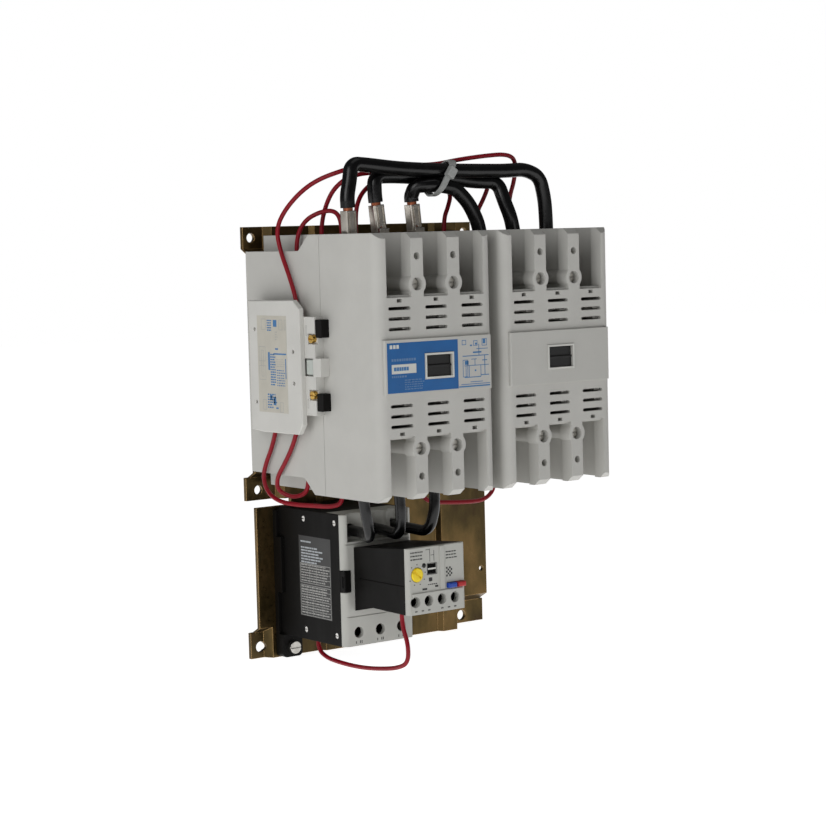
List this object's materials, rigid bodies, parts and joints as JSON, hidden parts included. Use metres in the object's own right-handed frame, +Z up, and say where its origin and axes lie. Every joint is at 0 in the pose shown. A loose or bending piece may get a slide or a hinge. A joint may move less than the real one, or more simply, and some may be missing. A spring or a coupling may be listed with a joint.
{
  "type": "changeover contactor assembly",
  "caption": "Pair of three-pole contactors on one formed steel plate, cross-linked by black power cables, with an electronic overload relay below.",
  "frame": {"origin": "centre of the four ear holes that hold the upper part of the base plate, on the wall plane", "axes": "+X to the viewer's right, +Y into the wall, +Z up"},
  "size_m": [0.2033, 0.1529, 0.3215],
  "materials": {
    "zinc_yellow_steel": "yellow-passivated zinc plating, satin, iridescent",
    "case_grey": "fine moulded texture",
    "label_blue": "printed panel",
    "panel_grey": "satin",
    "black_plastic": "fine moulded texture",
    "relay_grey": "fine moulded texture",
    "aux_white": "satin",
    "plunger_plastic": "translucent, satin",
    "magnet_steel": "laminated, lightly oiled",
    "coil_tape": "wound tape",
    "copper": "bare copper",
    "plated_steel": "zinc-plated, satin",
    "tinned_metal": "tin-plated, satin",
    "brass": "satin",
    "cable_black": "smooth PVC",
    "wire_red": "smooth PVC",
    "nylon": "natural nylon",
    "dial_yellow": "satin",
    "button_blue": "satin",
    "button_red": "satin",
    "board_green": "solder mask"
  },
  "bodies": {
    "unit": {"arc_chutes": "magnet_steel", "aux_body": "aux_white", "aux_clips": "black_plastic", "aux_plate": "aux_white", "aux_screws": "brass", "bare_conductors": "copper", "base_plate": "zinc_yellow_steel", "cable_tie": "nylon", "coils": "coil_tape", "control_terminals": "brass", "cover_screws": "plated_steel", "current_transformers": "magnet_steel", "dip_switches": "black_plastic", "fixed_contacts": "copper", "foot_screw": "plated_steel", "left_contactor_base": "case_grey", "left_contactor_cover": "case_grey", "left_front_panel": "label_blue", "left_return_springs": "plated_steel", "line_box_lugs": "tinned_metal", "magnet_cores": "magnet_steel", "power_cable_line_a": "cable_black", "power_cable_line_b": "cable_black", "power_cable_line_c": "cable_black", "power_cable_load_a": "cable_black", "power_cable_load_b": "cable_black", "power_cable_load_c": "cable_black", "relay_case": "black_plastic", "relay_circuit_board": "board_green", "relay_conductors": "copper", "relay_cover": "relay_grey", "relay_foot": "black_plastic", "relay_latch": "black_plastic", "relay_module_case": "black_plastic", "relay_module_face": "relay_grey", "relay_side_screws": "plated_steel", "right_contactor_base": "case_grey", "right_contactor_cover": "case_grey", "right_front_panel": "panel_grey", "right_return_springs": "plated_steel", "terminal_clamps": "plated_steel", "terminal_screws": "plated_steel", "wire_aux_crossover": "wire_red", "wire_aux_return_a": "wire_red", "wire_aux_return_b": "wire_red", "wire_coil_left": "wire_red", "wire_line_crossover": "wire_red", "wire_load_link": "wire_red", "wire_phase_link": "wire_red", "wire_relay_trip": "wire_red"},
    "left_carriage": {"left_crosshead": "black_plastic", "left_bridge_contacts": "copper", "left_armature": "magnet_steel"},
    "right_carriage": {"right_crosshead": "black_plastic", "right_bridge_contacts": "copper", "right_armature": "magnet_steel"},
    "aux_follower": {"aux_plunger": "plunger_plastic"},
    "dial": {"setting_dial": "dial_yellow"},
    "reset": {"reset_button": "button_blue"},
    "test": {"test_button": "button_red"}
  },
  "joints": [
    {"name": "left_contactor_closing", "type": "slide", "parent": "unit", "child": "left_carriage", "axis": [0, 1, 0], "range_m": [0, 0.0039], "stiffness_N_per_m": 400, "springref_m": -0.004, "deforming": ["left_return_springs"]},
    {"name": "right_contactor_closing", "type": "slide", "parent": "unit", "child": "right_carriage", "axis": [0, 1, 0], "range_m": [0, 0.0039], "stiffness_N_per_m": 400, "springref_m": -0.004, "deforming": ["right_return_springs"]},
    {"name": "aux_follower_slide", "type": "slide", "parent": "unit", "child": "aux_follower", "axis": [0, 1, 0], "range_m": [0, 0.0039]},
    {"name": "setting_dial_turn", "type": "hinge", "parent": "unit", "child": "dial", "pos_m": [-0.0632, -0.136, -0.1245], "axis": [0, -1, 0], "range_deg": [-130, 130]},
    {"name": "reset_button_press", "type": "slide", "parent": "unit", "child": "reset", "axis": [0, 1, 0], "range_m": [0, 0.0016], "stiffness_N_per_m": 500, "springref_m": -0.001},
    {"name": "test_button_press", "type": "slide", "parent": "unit", "child": "test", "axis": [0, 1, 0], "range_m": [0, 0.0016], "stiffness_N_per_m": 500, "springref_m": -0.001}
  ],
  "couplings": [
    {"joint": "aux_follower_slide", "follows": "left_contactor_closing", "ratio": 1}
  ]
}
